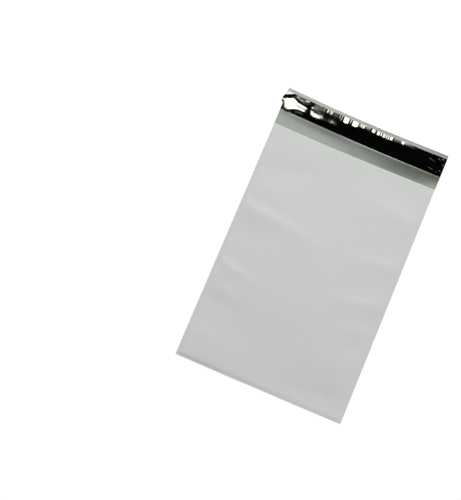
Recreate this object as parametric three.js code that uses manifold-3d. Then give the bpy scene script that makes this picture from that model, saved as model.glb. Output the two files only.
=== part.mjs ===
// Poly mailer: a flat postal bag folded from one sheet of co-extruded polyethylene film.
// One sheet makes the flap, the back panel, the bottom fold and the front panel. Both sides are
// hot-cut and welded, and the mouth is open. A band of hot-melt adhesive runs across the flap,
// under a glossy release liner that has come loose at one end and along its upper edge.
//
// Millimetres, +Z up. X runs across the bag and +Y towards the flap. The bag lies on its back
// panel, and the origin is at the centre of that panel's underside.

import * as THREE from "three";
import { ParametricGeometry } from "three/addons/geometries/ParametricGeometry.js";
import { mergeVertices } from "three/addons/utils/BufferGeometryUtils.js";
import Module from "manifold-3d";

// Film sheet
const bagWidth = 190;
const bagLength = 316; // bottom fold to the flap's cut edge
const pocketDepth = 274; // bottom fold to the mouth
const filmGauge = 0.064; // 2.5 mil film
const foldGap = 0.1; // air left inside the hard bottom fold

// Side welds: the hot knife leaves a bead that is a little thicker than the two films and
// stands a little outside their cut edges.
const weldWidth = 1.6;
const weldHeight = 0.3;
const weldProud = 0.1;
const weldClearance = 0.02; // bead's underside above the back panel's
const weldEndGap = 0.5; // the bead starts this far from the bottom fold
const weldRunOut = 1; // and runs on this far past the mouth, along the flap's edge

// Air held between the panels
const airHeight = 3;
const airSideFall = 3; // exponent: higher keeps the front panel flat until nearer the welds
const foldRise = 62; // length over which the front panel climbs from the fold
const mouthFall = 120; // length over which it settles again towards the mouth
const mouthGap = 0.6;

// Closure
const linerInset = 4; // flap's cut edge to the liner
const linerWidth = 21.5;
const linerGauge = 0.05;
const adhesiveWidth = 15;
const adhesiveGauge = 0.1;

// Loose parts of the liner
const looseEndLift = 2.2;
const looseEndLength = 42;
const looseEdgeLift = 0.7;
const looseEdgeLength = 140;

// Facets
const acrossSteps = 20;
const panelSteps = 26;
const foldSteps = 6;
const linerSteps = { along: 38, across: 6 };

const foldY = -bagLength / 2;
const flapY = bagLength / 2;
const mouthY = foldY + pocketDepth;
const filmHalfWidth = bagWidth / 2 - weldProud;
const innerHalfWidth = bagWidth / 2 - weldWidth + weldProud;
const linerY = flapY - linerInset - linerWidth / 2;
const stripLength = 2 * filmHalfWidth; // adhesive and liner run right across the flap

// The film's middle surface turns round the fold on this radius.
const bendRadius = (filmGauge + foldGap) / 2;
const bendY = foldY + filmGauge / 2 + bendRadius;

const { clamp, lerp, smoothstep } = THREE.MathUtils;
const wasm = await Module();
wasm.setup();

function toSolid(geometry) {
  geometry.deleteAttribute("normal");
  geometry.deleteAttribute("uv");
  const merged = mergeVertices(geometry);
  return new wasm.Manifold(
    new wasm.Mesh({
      numProp: 3,
      vertProperties: merged.attributes.position.array,
      triVerts: new Uint32Array(merged.index.array),
    }),
  );
}

function toGeometry(solid) {
  const mesh = solid.getMesh();
  const geometry = new THREE.BufferGeometry();
  geometry.setAttribute("position", new THREE.BufferAttribute(mesh.vertProperties, 3));
  geometry.setIndex(new THREE.BufferAttribute(mesh.triVerts, 1));
  geometry.computeVertexNormals();
  return geometry;
}

// The edges of an open sheet, each in the direction that its one triangle runs.
function rimEdges(sheet) {
  const corners = sheet.index.array;
  const edges = new Map();
  for (let i = 0; i < corners.length; i++) {
    const from = corners[i];
    const to = corners[i % 3 === 2 ? i - 2 : i + 1];
    if (!edges.delete(`${to},${from}`)) edges.set(`${from},${to}`, [from, to]);
  }
  return [...edges.values()];
}

// Gives an open sheet its gauge, half on each side of it. Both faces keep the same diagonals, so
// they stay parallel where the sheet twists.
function thicken(sheet, gauge) {
  const { position, normal } = sheet.attributes;
  const count = position.count;
  const corners = sheet.index.array;
  const points = new Float32Array(2 * count * 3);
  const point = new THREE.Vector3();
  const out = new THREE.Vector3();
  for (const side of [0, 1]) {
    for (let i = 0; i < count; i++) {
      out.fromBufferAttribute(normal, i).multiplyScalar(gauge * (0.5 - side));
      point.fromBufferAttribute(position, i).add(out);
      point.toArray(points, 3 * (i + side * count));
    }
  }
  const triangles = [...corners];
  for (let i = 0; i < corners.length; i += 3) {
    const [a, b, c] = corners.slice(i, i + 3);
    triangles.push(c + count, b + count, a + count);
  }
  for (const [from, to] of rimEdges(sheet)) {
    triangles.push(to, from, from + count);
    triangles.push(to, from + count, to + count);
  }
  const solid = new THREE.BufferGeometry();
  solid.setAttribute("position", new THREE.BufferAttribute(points, 3));
  solid.setIndex(triangles);
  solid.computeVertexNormals();
  return solid;
}

// How far the front panel stands off the closed fold at a place on the bag.
function airGap(x, y) {
  const across = 1 - Math.min(Math.abs(x) / innerHalfWidth, 1) ** airSideFall;
  const climb = smoothstep(y, foldY, foldY + foldRise);
  const settle = smoothstep(y, mouthY - mouthFall, mouthY);
  return across * climb * lerp(airHeight, mouthGap, settle);
}

// Stations across the bag: even steps between the welds, and one narrow step for each weld.
function stationX(share) {
  const inside = (2 * (share * acrossSteps - 1)) / (acrossSteps - 2) - 1;
  const outside = (Math.abs(inside) - 1) * (acrossSteps - 2) / 2;
  const edgeWidth = filmHalfWidth - innerHalfWidth;
  return clamp(inside, -1, 1) * innerHalfWidth + Math.sign(inside) * Math.max(outside, 0) * edgeWidth;
}

// The film's middle surface, from the flap's edge along the back panel, round the fold and up
// the front panel to the mouth. Its outside is the face that the normals leave from.
function filmPoint(share, along, point) {
  const middle = filmGauge / 2;
  const step = along * (1 + foldSteps + panelSteps);
  point.x = stationX(share);
  if (step <= 1) {
    point.y = lerp(flapY, bendY, step);
    point.z = middle;
  } else if (step <= 1 + foldSteps) {
    const turn = (Math.PI * (step - 1)) / foldSteps;
    point.y = bendY - bendRadius * Math.sin(turn);
    point.z = middle + bendRadius * (1 - Math.cos(turn));
  } else {
    point.y = lerp(bendY, mouthY, (step - 1 - foldSteps) / panelSteps);
    point.z = middle + 2 * bendRadius + airGap(point.x, point.y);
  }
}

function sideWeld(side) {
  const start = foldY + weldEndGap;
  const end = mouthY + weldRunOut;
  const weld = new THREE.BoxGeometry(weldWidth, end - start, weldHeight);
  weld.translate(
    side * (bagWidth / 2 - weldWidth / 2),
    (start + end) / 2,
    weldClearance + weldHeight / 2,
  );
  return toSolid(weld);
}

function bagFilm() {
  const lengthSteps = 1 + foldSteps + panelSteps;
  const sheet = new ParametricGeometry(filmPoint, acrossSteps, lengthSteps);
  const film = toSolid(thicken(sheet, filmGauge)).add(sideWeld(-1)).add(sideWeld(1));
  const material = new THREE.MeshStandardMaterial({
    color: 0xc8cac7,
    roughness: 0.45,
    metalness: 0,
  });
  const mesh = new THREE.Mesh(toGeometry(film), material);
  mesh.name = "bag_film";
  return mesh;
}

function adhesiveStrip() {
  const strip = new THREE.BoxGeometry(stripLength, adhesiveWidth, adhesiveGauge);
  const material = new THREE.MeshStandardMaterial({
    color: 0xd9d2b4,
    roughness: 0.3,
    metalness: 0,
  });
  const mesh = new THREE.Mesh(strip, material);
  mesh.name = "adhesive_strip";
  mesh.position.set(0, linerY, filmGauge + adhesiveGauge / 2);
  return mesh;
}

// How far the liner has come off the adhesive, for a place on the strip about its own centre.
function linerLift(x, y) {
  const fromEnd = x + stripLength / 2;
  const up = y / linerWidth + 0.5;
  const end = (1 - smoothstep(fromEnd, 0, looseEndLength)) * Math.sin(Math.PI * up);
  const edge = (1 - smoothstep(fromEnd, looseEndLength, looseEdgeLength)) * up ** 2;
  return looseEndLift * end + looseEdgeLift * edge;
}

function releaseLiner() {
  const { along, across } = linerSteps;
  const sheet = new THREE.PlaneGeometry(stripLength, linerWidth, along, across);
  const position = sheet.getAttribute("position");
  for (let i = 0; i < position.count; i++) {
    position.setZ(i, linerLift(position.getX(i), position.getY(i)));
  }
  sheet.computeVertexNormals();
  const material = new THREE.MeshStandardMaterial({
    color: 0x060606,
    roughness: 0.08,
    metalness: 0,
  });
  const mesh = new THREE.Mesh(thicken(sheet, linerGauge), material);
  mesh.name = "release_liner";
  mesh.position.set(0, linerY, filmGauge + adhesiveGauge + linerGauge / 2);
  return mesh;
}

const mailer = new THREE.Group();
mailer.add(bagFilm(), adhesiveStrip(), releaseLiner());

export default mailer;
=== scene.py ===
# Poly mailer: a flat bag of white film, grey inside, with a self-seal flap. A black, glossy
# liner covers the adhesive and has come loose at its left end and along its upper edge.
import math
import bpy
import numpy as np
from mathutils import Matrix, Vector


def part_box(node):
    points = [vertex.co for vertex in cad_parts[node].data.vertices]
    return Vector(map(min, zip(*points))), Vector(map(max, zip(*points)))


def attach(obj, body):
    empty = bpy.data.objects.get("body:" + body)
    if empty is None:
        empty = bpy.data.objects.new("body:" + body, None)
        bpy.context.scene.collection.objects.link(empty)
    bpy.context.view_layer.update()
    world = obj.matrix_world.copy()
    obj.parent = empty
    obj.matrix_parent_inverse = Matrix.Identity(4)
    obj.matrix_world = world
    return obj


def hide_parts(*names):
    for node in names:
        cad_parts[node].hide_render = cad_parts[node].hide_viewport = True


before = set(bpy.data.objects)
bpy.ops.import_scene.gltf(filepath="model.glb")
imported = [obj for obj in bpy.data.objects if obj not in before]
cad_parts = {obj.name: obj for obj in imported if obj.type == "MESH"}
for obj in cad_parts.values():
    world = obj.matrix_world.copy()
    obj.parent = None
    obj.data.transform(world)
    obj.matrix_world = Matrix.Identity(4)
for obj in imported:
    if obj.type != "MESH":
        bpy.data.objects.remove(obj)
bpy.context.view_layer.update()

mm = 0.001

# Places on the bag are in millimetres: across runs from the left edge to the right, and down
# from the flap's cut edge towards the bottom fold.
filmLow, filmHigh = (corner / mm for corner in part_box("bag_film"))
linerLow, linerHigh = (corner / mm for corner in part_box("release_liner"))
glueLow, glueHigh = (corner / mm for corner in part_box("adhesive_strip"))
bagWidth = filmHigh.x - filmLow.x
bagLength = filmHigh.y - filmLow.y
linerTop = filmHigh.y - linerHigh.y
linerBottom = filmHigh.y - linerLow.y

bag = {
    "gauge": 0.064,  # film thickness
    "mouth": 42.6,  # flap's edge to the front panel's
    "foldRadius": 0.08,  # of the hard fold at the bottom
    "openFold": {"left": 0.62, "right": 0.16, "hem": 0.5, "run": 4.4},  # fold isn't pressed flat
    "air": 1.6,  # how far the panels stand apart in the middle
    "airSideFall": 3.0,  # exponent: higher keeps the front panel flat until nearer the welds
    "climb": 100,  # from the fold to full height
    "settle": 150,  # from full height to the mouth
    "mouthGap": 0.5,
    "weld": 1.6,  # width of the band where the panels are joined
    "waves": {"pitch": (52, 44), "shift": 2.3, "height": 0.14, "seed": 11},
    "ripples": {"pitch": (21, 13), "height": 0.03, "seed": 12},
    # the welds pucker the film beside them, up to their reach
    "puckers": {"pitch": (30, 9), "height": 0.07, "seed": 13},
    "finePuckers": {"pitch": (20, 4.4), "height": 0.03, "seed": 14},
    "puckerReach": 9,
    "shoulder": 0.22,  # the front panel steps up from the welds by this much
    "foldDepth": 1.4,  # multiplies the height of every soft fold
    # flap's curl: how high it stands under the liner, and how fast it comes down from there
    "flapRise": {
        "across": (0, 30, 60, 90, 110, 130, 150, 165, 178, 185, 190),
        "height": (0.25, 0.6, 0.85, 0.9, 1.2, 1.8, 2.4, 2.6, 1.9, 1.4, 1.2),
        "haste": (3.0, 3.0, 3.0, 0.7, 1.0, 0.6, 1.0, 1.0, 1.4, 2.4, 2.6),
    },
    "lip": {"start": 1.3, "height": 0.13, "width": 0.6},  # ridge along the liner's lower edge
    "marginSlope": -0.005,  # beyond the liner the flap's edge turns up a hair
    "edgeCurl": {"width": 1.3, "height": 0.13},  # and its last millimetre more
    "skew": {"left": -0.9, "right": 2.4},  # the flap is pulled askew at its two ends
    "bow": {"edge": 2.2, "liner": 1.5, "mouth": 1.2},  # and bowed in between
    "drawnReach": 2.2,  # both die out below the mouth, at this many times its distance
    "foldSkew": 0.3,  # the fold isn't quite square to the sides
    # the mesh's spacing: at the ends of a span, in its middle, and how soon it widens
    "columns": (0.5, 2.2, 14),
    "flapRows": (0.6, 1.1, 6),
    "backRows": (2.0, 5.0, 30),
    "frontRows": (0.0025, 0.0068, 0.06),  # as shares of the front panel
    "foldSteps": 10,
}


def smooth(t):
    t = np.clip(t, 0, 1)
    return t * t * (3 - 2 * t)


def rise(value, start, end):
    return smooth((value - start) / (end - start))


def fall(value, start, end):
    return 1 - rise(value, start, end)


lattices = {}


# Smooth noise from -1 to 1 with one hump for each unit of across and down.
def noise(across, down, seed):
    size = 64
    if seed not in lattices:
        lattices[seed] = np.random.default_rng(seed).uniform(-1, 1, (size, size))
    lattice = lattices[seed]
    column = np.floor(across).astype(int)
    row = np.floor(down).astype(int)
    shareX = smooth(across - column)
    shareY = smooth(down - row)
    upper = lattice[column % size, row % size] * (1 - shareX)
    upper = upper + lattice[(column + 1) % size, row % size] * shareX
    lower = lattice[column % size, (row + 1) % size] * (1 - shareX)
    lower = lower + lattice[(column + 1) % size, (row + 1) % size] * shareX
    return upper * (1 - shareY) + lower * shareY


# The same noise along a line only.
def wander(place, seed):
    return noise(place, place * 0, seed)


# Low humps of a given pitch (mm across and down) and height.
def humps(across, down, kind):
    column = across / kind["pitch"][0] + kind.get("shift", 0)
    return kind["height"] * noise(column, down / kind["pitch"][1], kind["seed"])


# Reads a table of places across the bag and what is true there.
def byPlace(across, table, key="down"):
    return np.interp(across, table["across"], table[key])


# How far a place is along a line and to the side of it, and the line's length.
def fromLine(across, down, start, end):
    length = math.dist(start, end)
    alongX = (end[0] - start[0]) / length
    alongY = (end[1] - start[1]) / length
    along = (across - start[0]) * alongX + (down - start[1]) * alongY
    aside = (down - start[1]) * alongX - (across - start[0]) * alongY
    return along, aside, length


# A straight ridge, or a valley where height is negative, from one place to another.
def crease(across, down, start, end, width, height):
    along, aside, length = fromLine(across, down, start, end)
    ends = smooth((along + width) / (2 * width)) * smooth((length + width - along) / (2 * width))
    return height * np.exp(-((aside / width) ** 2)) * ends


# How far the mouth end of the bag, and all that lies on the flap, is drawn towards the fold.
def drawnIn(across, down):
    skew = bag["skew"]["left"] * fall(across, 0, 70) + bag["skew"]["right"] * rise(across, 60, 190)
    shareAtMouth = 0.2
    skew = skew * (shareAtMouth + (1 - shareAtMouth) * fall(down, linerBottom, bag["mouth"]))
    bow = np.interp(down, (0, linerBottom, bag["mouth"]), list(bag["bow"].values()))
    bow = bow * np.sin(math.pi * np.clip(across / bagWidth, 0, 1))
    return (skew + bow) * fall(down, bag["mouth"], bag["drawnReach"] * bag["mouth"])


# The flap lies a little proud under the liner, falls back to the mouth, and turns up a hair
# beyond the liner.
def flapHeight(across, down):
    lip, edge = bag["lip"], bag["edgeCurl"]
    fromLip = down - linerBottom - lip["start"]
    share = np.clip(fromLip / (bag["mouth"] - linerBottom - lip["start"] - 1), 0, 1)
    haste = byPlace(across, bag["flapRise"], "haste")
    raised = byPlace(across, bag["flapRise"], "height") * (1 - share) * np.exp(-haste * share)
    ridge = lip["height"] * rise(across, 60, 110) * np.exp(-((fromLip / lip["width"]) ** 2))
    margin = np.maximum(linerTop - down, 0) * bag["marginSlope"]
    curl = edge["height"] * np.maximum(edge["width"] - down, 0) ** 2 * rise(across, 80, 110)
    return raised + ridge - margin + curl


# Soft folds of the front panel. Steep is the width of the flank towards the mouth.
panelFolds = [
    {"from": (0, 136), "to": (118, 152), "steep": 6.0, "height": 0.44},
    {"from": (0, 160), "to": (66, 168), "steep": 9, "height": -0.24},
    {"from": (0, 112), "to": (70, 104), "steep": 7, "height": 0.2},
    {"from": (0, 204), "to": (70, 217), "steep": 4.6, "height": 0.42},
    {"from": (0, 222), "to": (22, 217), "steep": 3, "height": 0.26},
    {"from": (0, 231), "to": (80, 236), "steep": 6, "height": 0.26},
    {"from": (0, 246), "to": (60, 250), "steep": 6, "height": -0.3},
    {"from": (0, 266), "to": (60, 260), "steep": 8, "height": 0.2},
    {"from": (190, 90), "to": (104, 76), "steep": 9, "height": 0.5},
    {"from": (190, 137), "to": (120, 152), "steep": 6, "height": 0.4},
    {"from": (190, 181), "to": (112, 204), "steep": 6, "height": 0.42},
    {"from": (190, 214), "to": (130, 232), "steep": 7, "height": 0.24},
    {"from": (190, 256), "to": (96, 262), "steep": 13, "height": 0.8},
    {"from": (190, 294), "to": (92, 304), "steep": 8, "height": -0.6},
    {"from": (6, 284), "to": (100, 290), "steep": 8, "height": 0.45},
    {"from": (101, 146), "to": (106, 186), "steep": 4, "height": 0.16},
    {"from": (4, 96), "to": (110, 66), "steep": 12, "height": -0.45},
    {"from": (60, 108), "to": (150, 122), "steep": 12, "height": -0.22},
]


# One of them: it starts strong, dies away along its length, and its flank towards the bottom
# is the wider one.
def panelFold(across, down, fold):
    start, end = fold["from"], fold["to"]
    along, aside, length = fromLine(across, down, start, end)
    towardsBottom = aside * np.sign(end[0] - start[0])
    width = fold["steep"] * np.where(towardsBottom < 0, 1.0, 1.9)
    lasts = rise(along, -fold["steep"], fold["steep"]) * fall(along, 0.15 * length, 1.1 * length)
    return bag["foldDepth"] * fold["height"] * np.exp(-((aside / width) ** 2)) * lasts


# Keeps a height above zero, with a soft turn instead of a corner.
def clearOf(height, softness):
    return 0.5 * (height + np.sqrt(height * height + softness))


# How far the front panel stands off the back panel.
def panelGap(across, down):
    fromEdge = np.minimum(across, bagWidth - across) - bag["weld"]
    middle = np.clip(1 - fromEdge / (bagWidth / 2 - bag["weld"]), 0, 1)
    sides = 1 - middle ** bag["airSideFall"]
    climb = fall(down, bagLength - bag["climb"], bagLength)
    settle = fall(down, bag["mouth"], bag["mouth"] + bag["settle"])
    gap = sides * climb * (bag["air"] + (bag["mouthGap"] - bag["air"]) * settle)
    fromWeld = np.maximum(fromEdge, 0)
    free = 1 - np.exp(-fromWeld / 5)
    waves = humps(across, down, bag["waves"]) + humps(across, down, bag["ripples"])
    for one in panelFolds:
        waves = waves + panelFold(across, down, one)
    pucker = humps(across, down, bag["puckers"]) + humps(across, down, bag["finePuckers"])
    pucker = pucker * np.exp(-fromWeld / bag["puckerReach"]) * (1 - np.exp(-fromWeld / 1.6))
    fold = bag["openFold"]
    toFold = np.maximum(bagLength - down, 0)
    apart = fold["left"] + (fold["right"] - fold["left"]) * rise(across, 10, 170)
    apart = apart * (1 + 0.25 * wander(across / 19, 16)) * rise(fromEdge, -1, 5)
    apart = apart * rise(toFold, fold["hem"], fold["run"]) * fall(toFold, 8, 60)
    shoulders = bag["shoulder"] * (1 - np.exp(-fromWeld / 0.8))
    waves = waves * free * np.maximum(climb, 0.7 * rise(toFold, 0, 12))
    gap = gap + waves + pucker + apart + shoulders * rise(toFold, 0, 9)
    return clearOf(gap, 0.004)


# The bottom fold's radius, which wanders a little.
def foldRadius(across):
    fromEdge = np.minimum(across, bagWidth - across) - bag["weld"]
    return bag["foldRadius"] + 0.04 * (1 + wander(across / 23, 15)) * rise(fromEdge, 0, 12)


# Spacing that is fine at the ends of a span and coarser in the middle.
def stations(start, end, fine, coarse, reach):
    places = [start]
    while places[-1] < end:
        fromEnd = min(places[-1] - start, end - places[-1])
        places.append(places[-1] + fine + (coarse - fine) * min(fromEnd / reach, 1))
    places = np.array(places)
    return start + (places - start) * (end - start) / (places[-1] - start)


def evenly(start, end, step):
    return stations(start, end, step, step, 1)


# Middle surface of the whole sheet: flap and back panel, fold, front panel. Rows run from the
# flap's edge round the fold to the mouth, and columns across the bag.
def filmSurface():
    columns = stations(0, bagWidth, *bag["columns"])
    flapRows = stations(0, bag["mouth"], *bag["flapRows"])
    backRows = stations(bag["mouth"], bagLength, *bag["backRows"])[1:]
    frontRows = stations(0, 1, *bag["frontRows"])
    turns = np.linspace(0, math.pi, bag["foldSteps"] + 1)[1:-1]

    half = bag["gauge"] / 2
    radius = foldRadius(columns)
    bend = bagLength - radius - half - bag["foldSkew"] * rise(columns, 40, 220)
    surface = []
    for down in np.concatenate([flapRows, backRows]):
        place = down * (bend / bagLength)
        height = half + flapHeight(columns, place) * (down < bag["mouth"])
        surface.append((columns, place + drawnIn(columns, place), height))
    for turn in turns:
        height = half + radius * (1 - math.cos(turn))
        surface.append((columns, bend + radius * math.sin(turn), height))
    for share in frontRows:
        place = bend + (bag["mouth"] - bend) * share
        closed = bag["foldRadius"] + (radius - bag["foldRadius"]) * fall(share, 0, 0.12)
        start = panelGap(columns, bend)
        height = half + 2 * closed + panelGap(columns, place) - start * fall(share, 0, 0.03)
        surface.append((columns, place + drawnIn(columns, place), height))
    return np.array([np.stack(row, axis=-1) for row in surface])


# Turns a surface of rows and columns, in bag places, into a closed sheet of the given gauge.
# The first side is the one that faces up when rows run towards the flap.
def sheetMesh(name, surface, gauge, sideMaterials):
    points = surface.copy()
    points[..., 0] = surface[..., 0] - bagWidth / 2
    points[..., 1] = filmHigh.y - surface[..., 1]
    alongRow = np.gradient(points, axis=1)
    alongColumn = np.gradient(points, axis=0)
    normals = np.cross(alongRow, alongColumn)
    normals /= np.linalg.norm(normals, axis=-1, keepdims=True)
    rows, columns = points.shape[:2]
    count = rows * columns
    both = np.concatenate([
        (points + normals * gauge / 2).reshape(-1, 3),
        (points - normals * gauge / 2).reshape(-1, 3),
    ])
    index = np.arange(count).reshape(rows, columns)
    corners = (index[:-1, :-1], index[:-1, 1:], index[1:, 1:], index[1:, :-1])
    first = np.stack([c.ravel() for c in corners], axis=-1)
    second = first[:, ::-1] + count
    rim = np.concatenate([index[0, :], index[1:, -1], index[-1, -2::-1], index[-2:0:-1, 0]])
    after = np.roll(rim, -1)
    edge = np.stack([after, rim, rim + count, after + count], axis=-1)
    faces = np.concatenate([first, second, edge])
    mesh = bpy.data.meshes.new(name)
    mesh.from_pydata((both * mm).tolist(), [], faces.tolist())
    for material in sideMaterials:
        mesh.materials.append(material)
    slots = np.zeros(len(faces), int)
    slots[len(first):len(first) + len(second)] = len(sideMaterials) - 1
    mesh.polygons.foreach_set("material_index", slots)
    smoothFaces = np.ones(len(faces), bool)
    smoothFaces[len(first) + len(second):] = False
    mesh.polygons.foreach_set("use_smooth", smoothFaces)
    mesh.validate()
    mesh.update()
    piece = bpy.data.objects.new(name, mesh)
    bpy.context.scene.collection.objects.link(piece)
    return piece


# Where each of a piece's points lies on the bag.
def bagPlaces(piece):
    places = np.array([vertex.co / mm for vertex in piece.data.vertices])
    return places[:, 0] + bagWidth / 2, filmHigh.y - places[:, 1]


def linear(hexColour):
    channels = [int(hexColour[i:i + 2], 16) / 255 for i in (1, 3, 5)]
    return tuple(c / 12.92 if c <= 0.04045 else ((c + 0.055) / 1.055) ** 2.4 for c in channels) + (1,)


# Adds a node: settings are its properties, values its sockets, and links sockets to sockets.
def addNode(tree, kind, settings=None, values=None, links=None):
    node = tree.nodes.new(kind)
    for key, value in (settings or {}).items():
        setattr(node, key, value)
    for key, value in (values or {}).items():
        node.inputs[key].default_value = value
    for key, source in (links or {}).items():
        tree.links.new(source, node.inputs[key])
    return node


def newMaterial(name):
    material = bpy.data.materials.new(name)
    material.use_nodes = True
    material.node_tree.nodes.clear()
    return material, material.node_tree


outerFilm = {
    "light": "#BCBEBA",
    "dark": "#B7B9B5",
    "roughness": 0.62,
    "mottle": 9,  # mm between pigment clouds
    "dieLine": 0.9,  # mm between the faint lines that the die leaves across the bag
}


# White polyethylene film, blown and wound: satin, with faint clouds of pigment and die lines.
def makeOuterFilm():
    material, tree = newMaterial("whitePolyethyleneFilm")
    place = addNode(tree, "ShaderNodeTexCoord").outputs["Object"]
    clouds = addNode(tree, "ShaderNodeTexNoise", values={
        "Scale": 1 / (outerFilm["mottle"] * mm), "Detail": 3.0, "Roughness": 0.6,
    }, links={"Vector": place})
    stretched = addNode(tree, "ShaderNodeMapping", values={
        "Scale": (0.02, 1.0, 1.0),
    }, links={"Vector": place})
    lines = addNode(tree, "ShaderNodeTexNoise", values={
        "Scale": 1 / (outerFilm["dieLine"] * mm), "Detail": 2.0, "Roughness": 0.55,
    }, links={"Vector": stretched.outputs["Vector"]})
    tone = addNode(tree, "ShaderNodeMix", {"data_type": "RGBA"}, {
        6: linear(outerFilm["dark"]), 7: linear(outerFilm["light"]),
    }, {0: clouds.outputs["Fac"]})
    gloss = addNode(tree, "ShaderNodeMapRange", values={
        "To Min": outerFilm["roughness"] - 0.05, "To Max": outerFilm["roughness"] + 0.05,
    }, links={"Value": clouds.outputs["Fac"]})
    bump = addNode(tree, "ShaderNodeBump", values={
        "Strength": 0.12, "Distance": 0.02 * mm,
    }, links={"Height": lines.outputs["Fac"]})
    shader = addNode(tree, "ShaderNodeBsdfPrincipled", values={
        "IOR": 1.51,
    }, links={
        "Base Color": tone.outputs[2],
        "Roughness": gloss.outputs["Result"],
        "Normal": bump.outputs["Normal"],
    })
    addNode(tree, "ShaderNodeOutputMaterial", links={"Surface": shader.outputs["BSDF"]})
    return material


innerFilm = {
    "light": "#878B85",
    "dark": "#7E837B",
    "haze": "#7C6F4E",  # adhesive that has crept from under the liner
    "hazeStrength": 0.8,
    "roughness": 0.42,
    "metallic": 0.6,  # the grey layer's pigment is mostly aluminium flake
}


# Silver-grey inner layer of the same film.
def makeInnerFilm():
    material, tree = newMaterial("silverGreyInnerFilm")
    place = addNode(tree, "ShaderNodeTexCoord").outputs["Object"]
    clouds = addNode(tree, "ShaderNodeTexNoise", values={
        "Scale": 1 / (7 * mm), "Detail": 4.0, "Roughness": 0.6,
    }, links={"Vector": place})
    stretched = addNode(tree, "ShaderNodeMapping", values={
        "Scale": (0.02, 1.0, 1.0),
    }, links={"Vector": place})
    lines = addNode(tree, "ShaderNodeTexNoise", values={
        "Scale": 1 / (0.9 * mm), "Detail": 2.0,
    }, links={"Vector": stretched.outputs["Vector"]})
    tone = addNode(tree, "ShaderNodeMix", {"data_type": "RGBA"}, {
        6: linear(innerFilm["dark"]), 7: linear(innerFilm["light"]),
    }, {0: clouds.outputs["Fac"]})
    haze = addNode(tree, "ShaderNodeAttribute", {"attribute_name": "glueHaze"})
    stained = addNode(tree, "ShaderNodeMix", {"data_type": "RGBA"}, {7: linear(innerFilm["haze"])}, {
        0: haze.outputs["Fac"], 6: tone.outputs[2],
    })
    bump = addNode(tree, "ShaderNodeBump", values={
        "Strength": 0.15, "Distance": 0.02 * mm,
    }, links={"Height": lines.outputs["Fac"]})
    shader = addNode(tree, "ShaderNodeBsdfPrincipled", values={
        "IOR": 1.51, "Metallic": innerFilm["metallic"], "Roughness": innerFilm["roughness"],
    }, links={"Base Color": stained.outputs[2], "Normal": bump.outputs["Normal"]})
    addNode(tree, "ShaderNodeOutputMaterial", links={"Surface": shader.outputs["BSDF"]})
    return material


releaseFilm = {
    "colour": "#010101",
    "scuffed": "#040504",
    "tint": "#F4F6E6",  # its reflections are faintly olive
    "roughness": 0.05,
    "handled": 0.22,  # added where fingers have dulled it
}


# Siliconised black film: a near mirror, with fine scuffs that dull it in places.
def makeReleaseFilm():
    material, tree = newMaterial("siliconisedBlackFilm")
    place = addNode(tree, "ShaderNodeTexCoord").outputs["Object"]
    scuffs = addNode(tree, "ShaderNodeTexNoise", values={
        "Scale": 1 / (1.6 * mm), "Detail": 5.0, "Roughness": 0.7,
    }, links={"Vector": place})
    tone = addNode(tree, "ShaderNodeMix", {"data_type": "RGBA"}, {
        6: linear(releaseFilm["colour"]), 7: linear(releaseFilm["scuffed"]),
    }, {0: scuffs.outputs["Fac"]})
    gloss = addNode(tree, "ShaderNodeMapRange", values={
        "From Min": 0.4, "From Max": 0.8,
        "To Min": releaseFilm["roughness"], "To Max": releaseFilm["roughness"] + 0.08,
    }, links={"Value": scuffs.outputs["Fac"]})
    handled = addNode(tree, "ShaderNodeAttribute", {"attribute_name": "handled"})
    dulled = addNode(tree, "ShaderNodeMath", {"operation": "MULTIPLY_ADD"}, {
        1: releaseFilm["handled"],
    }, {0: handled.outputs["Fac"], 2: gloss.outputs["Result"]})
    shader = addNode(tree, "ShaderNodeBsdfPrincipled", values={
        "IOR": 1.65, "Specular Tint": linear(releaseFilm["tint"]),
    }, links={"Base Color": tone.outputs[2], "Roughness": dulled.outputs[0]})
    addNode(tree, "ShaderNodeOutputMaterial", links={"Surface": shader.outputs["BSDF"]})
    return material


hotMelt = {"colour": "#D8CFA6", "roughness": 0.22}


# Pressure-sensitive hot melt: a clear, faintly amber band with a wet look.
def makeHotMelt():
    material, tree = newMaterial("hotMeltAdhesive")
    place = addNode(tree, "ShaderNodeTexCoord").outputs["Object"]
    ribs = addNode(tree, "ShaderNodeTexNoise", values={
        "Scale": 1 / (2.2 * mm), "Detail": 3.0,
    }, links={"Vector": place})
    bump = addNode(tree, "ShaderNodeBump", values={
        "Strength": 0.4, "Distance": 0.05 * mm,
    }, links={"Height": ribs.outputs["Fac"]})
    shader = addNode(tree, "ShaderNodeBsdfPrincipled", values={
        "Base Color": linear(hotMelt["colour"]), "Roughness": hotMelt["roughness"],
        "IOR": 1.48, "Transmission Weight": 0.3,
    }, links={"Normal": bump.outputs["Normal"]})
    addNode(tree, "ShaderNodeOutputMaterial", links={"Surface": shader.outputs["BSDF"]})
    return material


print("materials")
whiteFilm = makeOuterFilm()
greyFilm = makeInnerFilm()
blackFilm = makeReleaseFilm()
adhesive = makeHotMelt()

print("bag film")
bagFilm = sheetMesh("bagFilm", filmSurface(), bag["gauge"], [whiteFilm, greyFilm])


# Adhesive has crept out at the liner's right end and stains the grey film there.
def stainFilm():
    across, down = bagPlaces(bagFilm)
    creep = rise(across, 160, 184) * rise(down, 15, 20)
    creep = creep * fall(down, linerBottom + 1, linerBottom + 11)
    haze = bagFilm.data.attributes.new("glueHaze", "FLOAT", "POINT")
    patchy = 0.7 + 0.3 * noise(across / 4, down / 3, 22)
    haze.data.foreach_set("value", innerFilm["hazeStrength"] * creep * patchy)


stainFilm()

glue = {
    "gauge": 0.1,
    "raggedness": 0.35,
    "clearance": 0.004,
    "inset": 0.05,  # from the film's side edges
    "columnStep": 1.0,
    "rows": 19,
}


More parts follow.
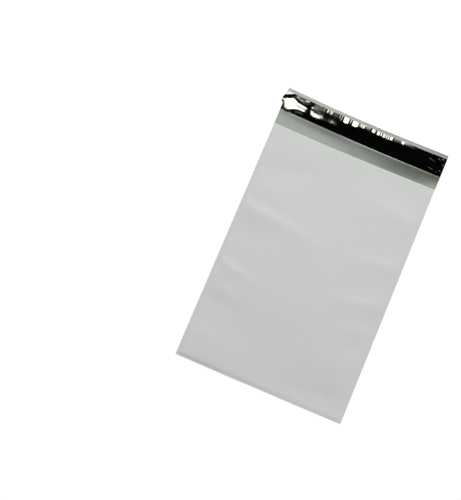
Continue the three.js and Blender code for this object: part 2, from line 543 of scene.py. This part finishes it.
# The band under the liner, with the slightly ragged edges of a slot coater.
def adhesiveSurface():
    top = filmHigh.y - glueHigh.y
    bottom = filmHigh.y - glueLow.y
    columns = evenly(glue["inset"], bagWidth - glue["inset"], glue["columnStep"])
    surface = []
    for share in np.linspace(1, 0, glue["rows"]):
        edge = columns * 0 + round(share) * 9
        ragged = glue["raggedness"] * noise(columns / 6, edge, 21)
        down = top + (bottom - top) * share + ragged * abs(2 * share - 1)
        height = bag["gauge"] + glue["gauge"] / 2 + flapHeight(columns, down)
        surface.append((columns, down + drawnIn(columns, down), height + glue["clearance"]))
    return np.array([np.stack(row, axis=-1) for row in surface])


adhesiveBand = sheetMesh("adhesiveBand", adhesiveSurface(), glue["gauge"], [adhesive])

liner = {
    "gauge": 0.05,
    "clearance": 0.01,
    "puckerSlope": 0.06,  # rise of the loose left end, behind its bulge
    "bulgeSlope": 0.19,  # and of the bulge itself, which faces the softbox
    "ledgeSlope": 0.145,  # and of the ledge below it
    "ledgeWidth": 3.0,
    "hem": 1.3,  # the bulge is down again this far above the liner's lower edge
    "tip": 2.6,  # the loose end's corner sticks out past the film
    "glare": 0.23,  # slope that faces the softbox
    "toothBase": 0.34,  # the ruffle's edge is lifted by this much before its teeth
    "crumple": {"pitch": (1.6, 1.4), "shift": 5, "height": 0.2, "seed": 8},  # at the corner
    "crinkle": {"pitch": (3.0, 4.0), "height": 0.03, "seed": 1},
    "fineCrinkle": {"pitch": (1.6, 2.2), "height": 0.014, "seed": 2},
    "rightEnd": {"pitch": (2.6, 2.6), "height": 0.03, "seed": 9},
    "columnStep": 0.45,
    "rowStep": 0.25,
}
# The loose upper edge goes up and down: places across where it turns, and heights there.
teeth = [
    (42, 0.1), (47.6, 0.0), (49.0, 0.3), (50.4, 0.3), (51.4, 0.0), (52.0, 0.0), (54.8, 0.3),
    (57.6, 0.1), (60.4, 0.2), (63.2, 0.5), (64.2, 0.5), (66.6, 0.0), (69.4, 0.46), (74.6, 0.46),
    (77.2, 0.1), (79.9, 0.56), (86.0, 0.5), (87.6, 0.1), (88.8, 0.36), (90.0, 0.36), (91.4, 0.1),
    (92.6, 0.3), (96.5, 0.0), (99.5, 0.0), (102.6, 0.7), (104.9, 0.66), (109.1, 0.0),
    (110.9, 0.0), (112.7, 0.42), (113.4, 0.42), (115.7, 0.0), (116.9, 0.0), (119.2, 0.42),
    (119.8, 0.42), (121.3, 0.05), (121.9, 0.05), (123.8, 0.5), (126.0, 0.5), (129.4, 0.14),
    (134, 0.2), (137.8, 0.3), (139.4, 0.3), (143, 0.1), (150, 0.0),
]
# Where the crest of the loose edge lies (down) and how far the edge is lifted, by place.
crestPlaces = {
    "across": (62, 66, 68, 72, 76, 80, 83, 86, 87.5, 90, 94, 100, 103, 106, 112, 127, 138, 150),
    "down": (9, 11.2, 11, 12.4, 10.6, 11.6, 12, 10.4, 9, 8.8, 9, 9, 9.5, 9, 9.1, 9, 8.6, 8),
}
liftPlaces = {
    "across": (40, 47.4, 48.4, 50.6, 51.3, 52, 55.2, 56.6, 62, 65, 67, 69, 75, 77, 79, 86, 87.5,
               89, 93, 95, 100.6, 102, 126.4, 128, 136.4, 138, 139.8, 141, 150),
    "lift": (0.1, 0.1, 0.95, 0.95, 0.3, 0.9, 0.9, 0.1, 0.12, 0.5, 0.5, 1, 1, 0.5, 1, 1, 0.6,
             0.9, 0.8, 0.44, 0.44, 1, 1, 0.44, 0.42, 0.8, 0.8, 0.46, 0.4),
}
endDents = [
    {"from": (171.5, 10.5), "to": (178.5, 12.6), "width": 0.9, "height": 0.16},
    {"from": (174, 20.4), "to": (180, 21.6), "width": 0.7, "height": 0.14},
    {"from": (180.8, 7.4), "to": (184.6, 8.6), "width": 0.8, "height": 0.18},
    {"from": (186.0, 19.4), "to": (189.4, 21.6), "width": 0.8, "height": 0.2},
    {"from": (187.9, 12), "to": (189.4, 15), "width": 0.8, "height": 0.2},
    {"from": (183, 21.6), "to": (185, 22.6), "width": 0.6, "height": 0.15},
    {"from": (185, 6.2), "to": (188, 7.6), "width": 0.6, "height": 0.16},
]
# Where the left end's bulge starts and where its crest lies.
bulgeStart = {
    "across": (0, 3, 9, 11, 16, 26, 30, 34),
    "down": (14.2, 12.2, 9.2, 9.6, 12.0, 13.0, 14.4, 15.5),
}
bulgeCrest = {
    "across": (0, 2.4, 7, 14, 19, 28, 34),
    "down": (17.0, 19.8, 22.0, 20.8, 19.0, 18.8, 18.4),
}
endPuckers = {
    "height": 0.13,
    "coarse": {"pitch": (4.2, 2.2), "shift": 3, "height": 0.03, "seed": 5},
    "fine": {"pitch": (1.9, 1.4), "height": 0.02, "seed": 6},
}
bulgeDent = {"from": (12, 16.6), "to": (27, 17.4), "width": 1.6, "height": -0.15}
# The corner is folded over along a diagonal, and has a dent of its own.
turnedCorner = {
    "height": 0.5,
    "slope": 0.13,
    "diagonal": (0.592, 0.806),
    "reach": (7.4, 10.6),
    "across": (12, 16),
}
cornerDent = {"from": (-1, 7.6), "to": (9, 3.2), "width": 0.35, "height": -0.07}
nextBulges = {
    "crest": {"across": (31, 36, 42, 48), "down": (18.4, 20.0, 20.2, 18.6)},
    "second": 0.85,
    "third": 0.66,
    "ridges": {"pitch": (2.6, 5), "height": 0.05, "seed": 24},
    "valley": {"from": (34.0, 2), "to": (32.0, 10), "width": 1.2, "height": -0.25},
    "fold": {"from": (32.2, 3), "to": (30.4, 12), "width": 0.5, "height": 0.1},
}


def dent(across, down, one):
    return crease(across, down, one["from"], one["to"], one["width"], one["height"])


# A curve through its turning places that is level at each of them.
def turning(across, turns):
    places, heights = np.array(turns).T
    index = np.clip(np.searchsorted(places, across) - 1, 0, len(places) - 2)
    share = (across - places[index]) / (places[index + 1] - places[index])
    return heights[index] + (heights[index + 1] - heights[index]) * smooth(share)


# The upper edge has come off in a long ruffle: it rises from the edge to a crest, dies out to
# the right, and goes up and down along its length.
def ruffle(across, down):
    lift = byPlace(across, liftPlaces, "lift")
    crest = byPlace(across, crestPlaces) + 0.3 * wander(across / 2.3, 3)
    share = np.clip((down - linerTop) / (crest - linerTop), 0, 1)
    rising = liner["glare"] * (crest - linerTop) * (share - 0.12 * share ** 3)
    falling = fall(down, crest - 0.3, crest + 10)
    profile = np.where(down < crest, rising, rising.max(axis=0) * falling)
    edge = (turning(across, teeth) + liner["toothBase"]) * fall(down, crest - 1.6, crest + 6)
    profile = profile * fall(across, 148, 160)
    return lift * profile + edge * rise(across, 40, 47) * fall(across, 142, 154)


# The left end stands up in one large bulge, with its corner folded over along a diagonal and a
# row of puckers behind it.
def looseEnd(across, down):
    start = byPlace(across, bulgeStart)
    crest = byPlace(across, bulgeCrest)
    gentle = liner["puckerSlope"] * (np.minimum(down, start) - linerTop)
    steep = liner["bulgeSlope"] * np.clip(down - start, 0, crest - start)
    foot = np.minimum(crest + liner["ledgeWidth"] * fall(across, 5, 16), linerBottom - liner["hem"])
    ledge = liner["ledgeSlope"] * np.clip(down - crest, 0, foot - crest)
    over = np.clip((down - foot) / np.minimum(linerBottom - 0.2 - foot, 3.6), 0, 1)
    bulge = (gentle + steep + ledge) * (1 - over ** 1.15) * fall(across, 24.5, 31.5)
    bulge = bulge + dent(across, down, bulgeDent)
    zone = rise(across, 9.5, 13) * fall(across, 28, 32) * fall(down, start - 1.6, start - 0.2)
    puckers = humps(across, down, endPuckers["coarse"]) + humps(across, down, endPuckers["fine"])
    puckers = puckers + endPuckers["height"]
    fromCorner = across * turnedCorner["diagonal"][0] + down * turnedCorner["diagonal"][1]
    corner = turnedCorner["height"] + turnedCorner["slope"] * (down - linerTop)
    corner = corner * fall(fromCorner, *turnedCorner["reach"]) * fall(across, *turnedCorner["across"])
    corner = corner + dent(across, down, cornerDent)
    return bulge + zone * puckers + corner


# A second, softer bulge stands beside the first, and faint ones follow.
def middleBulges(across, down):
    crest = byPlace(across, nextBulges["crest"])
    height = nextBulges["second"] * rise(across, 29.5, 33.5) * fall(across, 41, 52)
    up = 0.1 * np.clip((down - linerTop) / 10, 0, 1) + 1.15 * rise(down, crest - 6.6, crest)
    second = height * np.where(down < crest, up, 1.4 * fall(down, crest - 0.6, crest + 4.6))
    near = rise(across, 29, 33) * fall(across, 42, 48)
    second = second + 0.2 * near * rise(down, linerTop - 1, 14) * fall(down, 14, 24)
    second = second + near * humps(across, down, nextBulges["ridges"])
    third = nextBulges["third"] * rise(across, 49, 54) * fall(across, 56, 67)
    climbing = rise(down, 11.0, 19)
    settling = rise(18, 11.0, 19) * fall(down, 17.6, 23.5)
    third = third * np.where(down < 18, climbing, settling)
    valley = dent(across, down, nextBulges["valley"])
    return second + third + valley + dent(across, down, nextBulges["fold"])


# How far the liner stands off the adhesive.
def linerLift(across, down):
    lift = ruffle(across, down) + looseEnd(across, down) + middleBulges(across, down)
    crumple = fall(across, 0, 5) * rise(down, 4, 7) * fall(down, 11.5, 13.8)
    lift = lift + crumple * (liner["crumple"]["height"] + humps(across, down, liner["crumple"]))
    loose = fall(across, 50, 90) * fall(down, 14, 20)
    crinkle = humps(across, down, liner["crinkle"]) + humps(across, down, liner["fineCrinkle"])
    dents = sum(dent(across, down, one) for one in endDents)
    lift = lift + loose * crinkle + dents
    lift = lift + rise(across, 168, 184) * humps(across, down, liner["rightEnd"])
    return clearOf(lift, 0.0025)


def linerSurface():
    columns = evenly(0, bagWidth, liner["columnStep"])
    rows = evenly(linerTop, linerBottom, liner["rowStep"])[::-1]
    across, down = np.meshgrid(columns, rows)
    base = bag["gauge"] + glue["gauge"] + liner["gauge"] / 2 + liner["clearance"]
    height = base + flapHeight(across, down) + linerLift(across, down)
    crumple = 1 + 0.5 * wander(down / 1.7, 7)
    tip = liner["tip"] * crumple * fall(across, 0, 6) * rise(down, 7, 12) * fall(down, 14.5, 18.5)
    return np.stack([across - tip, down + drawnIn(across, down), height], axis=-1)


print("release liner")
releaseLiner = sheetMesh("releaseLiner", linerSurface(), liner["gauge"], [blackFilm])


# Fingers have dulled it where it was lifted.
def dullLiner():
    across, down = bagPlaces(releaseLiner)
    dull = rise(across, 29, 35) * fall(across, 60, 72) * fall(down, 17, 21)
    dull = dull + 0.35 * rise(across, 9, 13) * fall(down, 8, 12) * fall(across, 24, 30)
    handled = releaseLiner.data.attributes.new("handled", "FLOAT", "POINT")
    handled.data.foreach_set("value", dull * (0.75 + 0.25 * noise(across / 1.5, down / 5, 23)))


dullLiner()

weld = {
    "halfWidth": 0.42,
    "height": 0.3,
    "step": 1.5,  # between the bead's sections
    "waviness": 0.35,  # how much thicker it is at its lumps
    "seed": 4.0,
    "lumps": 4,  # mm between the bead's thick places
    "pastMouth": 1,
    "fromFold": 0.6,
}


# Sweeps a flat oval along the cut edge, thicker and thinner as a hot knife leaves it.
def weldTree():
    tree = bpy.data.node_groups.new("hotKnifeBead", "GeometryNodeTree")
    face = tree.interface
    face.new_socket("Geometry", in_out="INPUT", socket_type="NodeSocketGeometry")
    for name in ("Half Width", "Height", "Step", "Waviness", "Seed"):
        face.new_socket(name, in_out="INPUT", socket_type="NodeSocketFloat")
    face.new_socket("Material", in_out="INPUT", socket_type="NodeSocketMaterial")
    face.new_socket("Geometry", in_out="OUTPUT", socket_type="NodeSocketGeometry")
    given = addNode(tree, "NodeGroupInput").outputs
    path = addNode(tree, "GeometryNodeMeshToCurve", links={"Mesh": given["Geometry"]})
    even = addNode(tree, "GeometryNodeResampleCurve", {"mode": "LENGTH"}, links={
        "Curve": path.outputs["Curve"], "Length": given["Step"],
    })
    place = addNode(tree, "GeometryNodeInputPosition")
    lumps = addNode(tree, "ShaderNodeTexNoise", {"noise_dimensions": "4D"}, {
        "Scale": 1 / (weld["lumps"] * mm), "Detail": 2.0,
    }, {"Vector": place.outputs["Position"], "W": given["Seed"]})
    swell = addNode(tree, "ShaderNodeMath", {"operation": "MULTIPLY_ADD"}, {2: 0.8}, {
        0: lumps.outputs["Fac"], 1: given["Waviness"],
    })
    thick = addNode(tree, "GeometryNodeSetCurveRadius", links={
        "Curve": even.outputs["Curve"], "Radius": swell.outputs[0],
    })
    circle = addNode(tree, "GeometryNodeCurvePrimitiveCircle", values={"Resolution": 10, "Radius": 1.0})
    flat = addNode(tree, "ShaderNodeCombineXYZ", values={"Z": 1.0}, links={
        "X": given["Half Width"], "Y": given["Height"],
    })
    oval = addNode(tree, "GeometryNodeTransform", links={
        "Geometry": circle.outputs["Curve"], "Scale": flat.outputs["Vector"],
    })
    radius = addNode(tree, "GeometryNodeInputRadius")
    bead = addNode(tree, "GeometryNodeCurveToMesh", values={"Fill Caps": True}, links={
        "Curve": thick.outputs["Curve"],
        "Profile Curve": oval.outputs["Geometry"],
        "Scale": radius.outputs["Radius"],
    })
    soft = addNode(tree, "GeometryNodeSetShadeSmooth", links={"Geometry": bead.outputs["Mesh"]})
    whole = addNode(tree, "GeometryNodeRealizeInstances", links={"Geometry": soft.outputs["Geometry"]})
    done = addNode(tree, "GeometryNodeSetMaterial", links={
        "Geometry": whole.outputs["Geometry"], "Material": given["Material"],
    })
    addNode(tree, "NodeGroupOutput", links={"Geometry": done.outputs["Geometry"]})
    return tree


# Runs the bead down one side, from the mouth to the bottom fold.
def weldBead(name, tree, across):
    places = np.arange(bag["mouth"] - weld["pastMouth"], bagLength - weld["fromFold"], 2.0)
    side = across - bagWidth / 2
    middle = weld["height"] / 2
    points = [(side * mm, (filmHigh.y - down) * mm, middle * mm) for down in places]
    edges = [(i, i + 1) for i in range(len(points) - 1)]
    mesh = bpy.data.meshes.new(name)
    mesh.from_pydata(points, edges, [])
    piece = bpy.data.objects.new(name, mesh)
    bpy.context.scene.collection.objects.link(piece)
    modifier = piece.modifiers.new("bead", "NODES")
    modifier.node_group = tree
    values = {
        "Half Width": weld["halfWidth"] * mm,
        "Height": weld["height"] / 2 * mm,
        "Step": weld["step"] * mm,
        "Waviness": weld["waviness"],
        "Seed": weld["seed"] + across,
        "Material": whiteFilm,
    }
    for socket in tree.interface.items_tree:
        if socket.in_out == "INPUT" and socket.name in values:
            modifier[socket.identifier] = values[socket.name]
    evaluated = piece.evaluated_get(bpy.context.evaluated_depsgraph_get())
    plain = bpy.data.meshes.new_from_object(evaluated)
    piece.modifiers.clear()
    piece.data = plain
    return piece


print("side welds")
beadTree = weldTree()
welds = [
    weldBead("leftWeld", beadTree, weld["halfWidth"]),
    weldBead("rightWeld", beadTree, bagWidth - weld["halfWidth"]),
]

for piece, node, slot in [
    (bagFilm, "bag_film", "mailer_film"),
    (welds[0], "bag_film", "mailer_film"),
    (welds[1], "bag_film", "mailer_film"),
    (adhesiveBand, "adhesive_strip", "hot_melt_adhesive"),
    (releaseLiner, "release_liner", "release_film"),
]:
    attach(piece, "root")
    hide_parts(node)

studio = {
    "floor": "#FDFDFC",
    "floorSize": 6.0,
    "overhead": 0.008,  # the room's own light, straight up
    "horizon": 0.8,  # and level with the floor
    "skyline": 0.5,  # height, as a share of straight up, at which it is as dim as overhead
    "bounce": {"place": (0, -4.2, 3.7), "size": (5.4, 3.6), "radiance": 2.4, "feather": 0.42,
               "colour": "#F0F2E2"},
    "key": {"place": (0, 3.86, 4.60), "size": (3.8, 2.5), "radiance": 21.4, "feather": 0.22,
            "colour": "#FBFCFF"},
    "scrim": {"place": (0, 6.0, 5.52), "size": (12.0, 8.6), "radiance": 3.2, "feather": 0.5},
}


# A rectangular light that faces the bag, with its radiance in watts per square metre and
# steradian at its middle.
def softbox(name, settings):
    light = bpy.data.lights.new(name, "AREA")
    light.shape = "RECTANGLE"
    light.size, light.size_y = settings["size"]
    light.energy = settings["radiance"] * math.pi * light.size * light.size_y
    # the cloth is dimmer towards its edges
    light.use_nodes = True
    tree = light.node_tree
    tree.nodes.clear()
    place = addNode(tree, "ShaderNodeNewGeometry").outputs["Parametric"]
    apart = addNode(tree, "ShaderNodeSeparateXYZ", links={"Vector": place})
    levels = []
    for axis in "XY":
        fromRim = addNode(tree, "ShaderNodeMath", {"operation": "PINGPONG"}, {1: 0.5}, {
            0: apart.outputs[axis],
        })
        soft = addNode(tree, "ShaderNodeMapRange", {"interpolation_type": "SMOOTHSTEP"}, {
            "From Min": 0.0, "From Max": settings["feather"], "To Min": 0.0, "To Max": 1.0,
        }, {"Value": fromRim.outputs[0]})
        levels.append(soft.outputs["Result"])
    level = addNode(tree, "ShaderNodeMath", {"operation": "MULTIPLY"}, links=dict(enumerate(levels)))
    colour = linear(settings.get("colour", "#FFFFFF"))
    glow = addNode(tree, "ShaderNodeEmission", values={"Color": colour}, links={
        "Strength": level.outputs[0],
    })
    addNode(tree, "ShaderNodeOutputLight", links={"Surface": glow.outputs["Emission"]})
    box = bpy.data.objects.new(name, light)
    box.location = settings["place"]
    box.rotation_mode = "QUATERNION"
    box.rotation_quaternion = (-Vector(settings["place"])).to_track_quat("-Z", "Y")
    bpy.context.scene.collection.objects.link(box)


# A white floor, a dim room that is pale at the horizon, and the lights.
def makeStudio():
    half = studio["floorSize"] / 2
    mesh = bpy.data.meshes.new("floor")
    corners = [(-half, -half, 0), (half, -half, 0), (half, half, 0), (-half, half, 0)]
    mesh.from_pydata(corners, [], [(0, 1, 2, 3)])
    floor = bpy.data.objects.new("floor", mesh)
    bpy.context.scene.collection.objects.link(floor)
    material, tree = newMaterial("whitePaperSweep")
    shader = addNode(tree, "ShaderNodeBsdfDiffuse", values={"Color": linear(studio["floor"])})
    addNode(tree, "ShaderNodeOutputMaterial", links={"Surface": shader.outputs["BSDF"]})
    mesh.materials.append(material)

    world = bpy.data.worlds.new("studio")
    bpy.context.scene.world = world
    world.use_nodes = True
    tree = world.node_tree
    tree.nodes.clear()
    direction = addNode(tree, "ShaderNodeTexCoord").outputs["Generated"]
    height = addNode(tree, "ShaderNodeSeparateXYZ", links={"Vector": direction})
    glow = addNode(tree, "ShaderNodeMapRange", {"interpolation_type": "SMOOTHSTEP"}, {
        "From Min": 0.0, "From Max": studio["skyline"],
        "To Min": studio["horizon"], "To Max": studio["overhead"],
    }, {"Value": height.outputs["Z"]})
    light = addNode(tree, "ShaderNodeBackground", links={"Strength": glow.outputs["Result"]})
    addNode(tree, "ShaderNodeOutputWorld", links={"Surface": light.outputs["Background"]})

    softbox("bounceCard", studio["bounce"])
    softbox("keySoftbox", studio["key"])
    softbox("scrim", studio["scrim"])


camera = {
    "lens": 60.0,
    "azimuth": 23.01,
    "elevation": 83.90,
    "distance": 901.3,
    "aim": (-84.3, -32.5),  # beside the bag's centre: the bag stands right of the frame's middle
}


def makeCamera():
    data = bpy.data.cameras.new("camera")
    data.lens = camera["lens"]
    data.sensor_width = 36.0
    data.sensor_fit = "AUTO"
    eye = bpy.data.objects.new("camera", data)
    bpy.context.scene.collection.objects.link(eye)
    turn, tilt = math.radians(camera["azimuth"]), math.radians(camera["elevation"])
    back = Vector((math.sin(turn) * math.cos(tilt), -math.cos(turn) * math.cos(tilt), math.sin(tilt)))
    eye.location = (Vector((*camera["aim"], 0)) + back * camera["distance"]) * mm
    eye.rotation_mode = "QUATERNION"
    eye.rotation_quaternion = (-back).to_track_quat("-Z", "Y")
    bpy.context.scene.camera = eye


print("studio and camera")
makeStudio()
makeCamera()
bpy.context.scene.view_settings.view_transform = "Standard"
